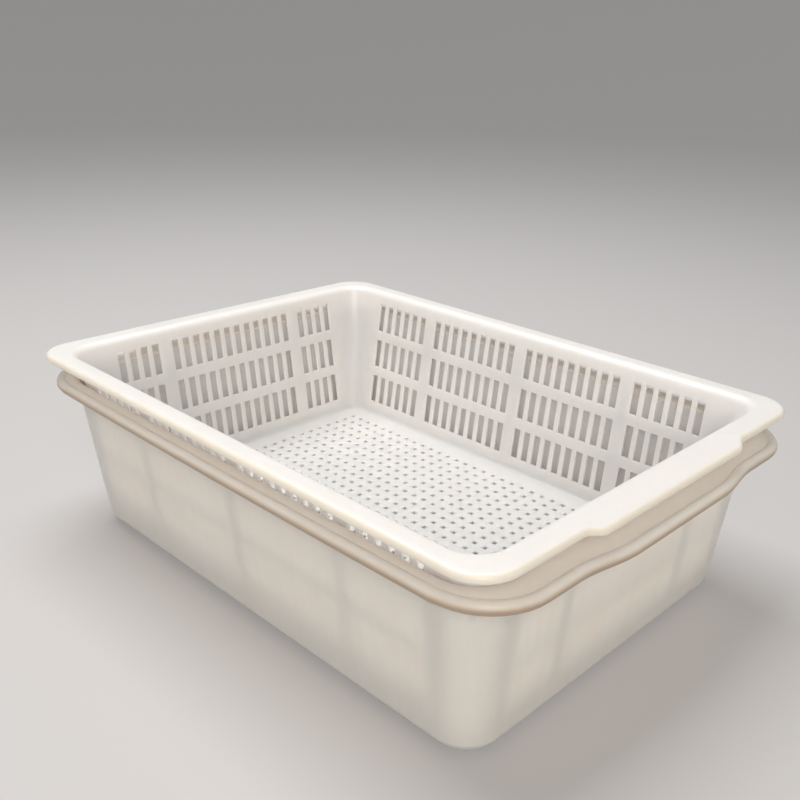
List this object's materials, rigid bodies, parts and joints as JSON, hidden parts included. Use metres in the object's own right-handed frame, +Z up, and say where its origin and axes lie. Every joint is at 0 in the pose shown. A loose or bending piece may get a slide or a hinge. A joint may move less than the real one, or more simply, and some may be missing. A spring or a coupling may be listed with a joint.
{
  "type": "draining basket with tub",
  "caption": "Rectangular slotted draining basket with a perforated floor and flat rim, nested in a matching solid tub with a rolled rim, for draining curd.",
  "frame": {"origin": "centre of the surface that the tub stands on", "axes": "+X along the long sides, +Y along the short sides, +Z up out of the tub"},
  "size_m": [0.404, 0.276, 0.119],
  "materials": {
    "tub_plastic": "satin",
    "basket_plastic": "satin"
  },
  "bodies": {
    "tub": {"tub": "tub_plastic"},
    "basket": {"basket": "basket_plastic"}
  },
  "joints": [
    {"name": "basket_lift", "type": "slide", "parent": "tub", "child": "basket", "axis": [0, 0, 1], "range_m": [0, 0.13]}
  ]
}
